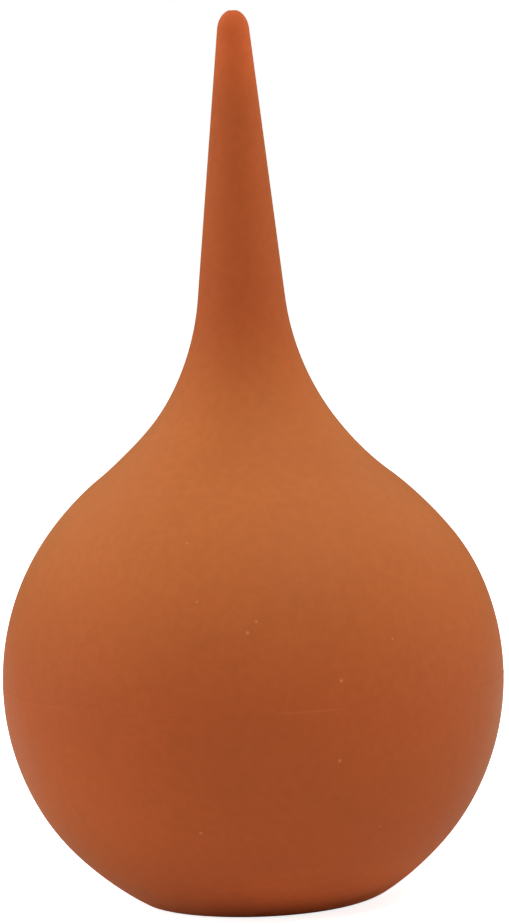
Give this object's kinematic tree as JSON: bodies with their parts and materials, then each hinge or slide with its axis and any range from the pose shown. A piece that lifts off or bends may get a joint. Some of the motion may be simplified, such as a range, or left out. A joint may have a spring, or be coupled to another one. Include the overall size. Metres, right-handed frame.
{
  "type": "ear syringe",
  "caption": "Soft rubber bulb on a flat foot with a long tapered nozzle, moulded as two cemented halves with a plug in the foot; squeezing brings its ends together.",
  "frame": {"origin": "centre of the flat foot, on the surface that the syringe stands on", "axes": "+Z is the syringe's axis, from the foot up to the nozzle's tip; the body is round about it, so X and Y are free"},
  "size_m": [0.06, 0.06, 0.1065],
  "materials": {
    "bulb_rubber": "matte terracotta rubber with a faint sheen",
    "plug_rubber": "matte terracotta rubber, a little darker"
  },
  "bodies": {
    "lower_half": {"lower_cup": "bulb_rubber", "base_plug": "plug_rubber"},
    "upper_half": {"upper_shell": "bulb_rubber"}
  },
  "joints": [
    {"name": "squeeze", "type": "slide", "parent": "lower_half", "child": "upper_half", "axis": [0, 0, -1], "range_m": [0, 0.012], "stiffness_N_per_m": 900, "deforming": ["lower_cup"]}
  ]
}
